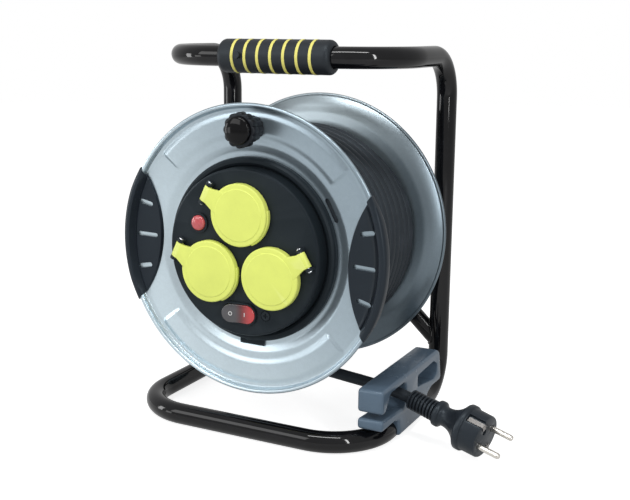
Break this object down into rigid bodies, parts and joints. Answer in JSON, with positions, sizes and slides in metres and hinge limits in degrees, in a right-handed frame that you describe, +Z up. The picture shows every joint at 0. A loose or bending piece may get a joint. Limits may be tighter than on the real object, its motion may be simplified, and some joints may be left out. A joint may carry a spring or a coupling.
{
  "type": "extension cord reel",
  "caption": "Extension cord reel on a bent tube stand: a spinning steel drum of wound cord with lidded socket outlets, switch, reset button, crank knob, grip and a parked plug.",
  "frame": {"origin": "on the floor, under the middle of the reel from side to side and from front to back, leaving out the free cord and its plug", "axes": "+X to the right seen from the socket side, +Y to the rear along the drum axle, +Z up"},
  "size_m": [0.3377, 0.212, 0.3254],
  "materials": {
    "frame_black": "gloss powder coat",
    "axle_steel": "turned",
    "screw_steel": "zinc plated",
    "grip_black": "fine grained",
    "band_yellow": "smooth",
    "park_slate": "satin",
    "cord_rubber": "matt sheath",
    "plug_rubber": "satin moulding",
    "pin_nickel": "nickel plated",
    "contact_brass": "bright",
    "flange_zinc": "zinc plated sheet",
    "core_black": "moulded",
    "panel_black": "satin moulded",
    "guard_black": "satin moulded",
    "bush_nylon": "natural",
    "lid_yellow": "satin moulded",
    "button_red": "translucent cap",
    "rocker_red": "translucent, lit half",
    "knob_black": "moulded",
    "cap_black": "polished dome"
  },
  "bodies": {
    "stand": {"base_tube": "frame_black", "upright_left": "frame_black", "upright_right": "frame_black", "handle_tube": "frame_black", "strut_left": "frame_black", "strut_right": "frame_black", "axle_block": "frame_black", "axle": "axle_steel", "axle_spacer": "axle_steel", "axle_washer": "screw_steel", "axle_screw": "screw_steel", "axle_nut": "screw_steel", "grip": "grip_black", "grip_bands": "band_yellow", "grip_screw": "screw_steel", "plug_park": "park_slate", "park_screws": "screw_steel", "supply_cord": "cord_rubber", "plug_relief": "plug_rubber", "plug_body": "plug_rubber", "plug_pins": "pin_nickel", "plug_earth_strips": "pin_nickel"},
    "drum": {"front_flange": "flange_zinc", "rear_flange": "flange_zinc", "drum_core": "core_black", "cord_core": "cord_rubber", "cord_winding": "cord_rubber", "front_bush": "bush_nylon", "rear_bush": "bush_nylon", "flange_screws": "screw_steel", "socket_panel": "panel_black", "panel_back": "core_black", "socket_top": "panel_black", "socket_left": "panel_black", "socket_right": "panel_black", "earth_clips": "contact_brass", "line_contacts": "contact_brass", "hinge_pins": "screw_steel", "rocker_bezel": "panel_black", "switch_body": "core_black", "reset_collar": "panel_black", "cutout_body": "core_black", "panel_screw": "panel_black", "inner_lead": "cord_rubber", "guard_left": "guard_black", "guard_right": "guard_black", "knob_post": "screw_steel", "knob_nut": "screw_steel"},
    "crank_knob": {"knob": "knob_black", "knob_cap": "cap_black"},
    "lid_top": {"lid_top": "lid_yellow"},
    "lid_left": {"lid_left": "lid_yellow"},
    "lid_right": {"lid_right": "lid_yellow"},
    "rocker": {"rocker": "rocker_red"},
    "reset_button": {"reset_button": "button_red"}
  },
  "joints": [
    {"name": "drum_spin", "type": "hinge", "parent": "stand", "child": "drum", "pos_m": [0, -0.0105, 0.155], "axis": [0, -1, 0], "continuous": true},
    {"name": "knob_spin", "type": "hinge", "parent": "drum", "child": "crank_knob", "pos_m": [0.00348, -0.0975, 0.25474], "axis": [0, -1, 0], "continuous": true},
    {"name": "lid_top_hinge", "type": "hinge", "parent": "drum", "child": "lid_top", "pos_m": [-0.03146, -0.092, 0.20204], "axis": [-0.4384, 0, -0.8988], "range_deg": [0, 110], "stiffness_Nm_per_rad": 0.02, "springref_deg": -22.92},
    {"name": "lid_left_hinge", "type": "hinge", "parent": "drum", "child": "lid_left", "pos_m": [-0.0596, -0.092, 0.15329], "axis": [-0.4384, 0, -0.8988], "range_deg": [0, 110], "stiffness_Nm_per_rad": 0.02, "springref_deg": -22.92},
    {"name": "lid_right_hinge", "type": "hinge", "parent": "drum", "child": "lid_right", "pos_m": [0.05815, -0.092, 0.15598], "axis": [-0.515, 0, 0.8572], "range_deg": [0, 110], "stiffness_Nm_per_rad": 0.02, "springref_deg": -22.92},
    {"name": "rocker_tip", "type": "hinge", "parent": "drum", "child": "rocker", "pos_m": [-0.0025, -0.0865, 0.1048], "axis": [0, 0, -1], "range_deg": [0, 12]},
    {"name": "reset_push", "type": "slide", "parent": "drum", "child": "reset_button", "axis": [0, 1, 0], "range_m": [0, 0.002], "stiffness_N_per_m": 900}
  ]
}
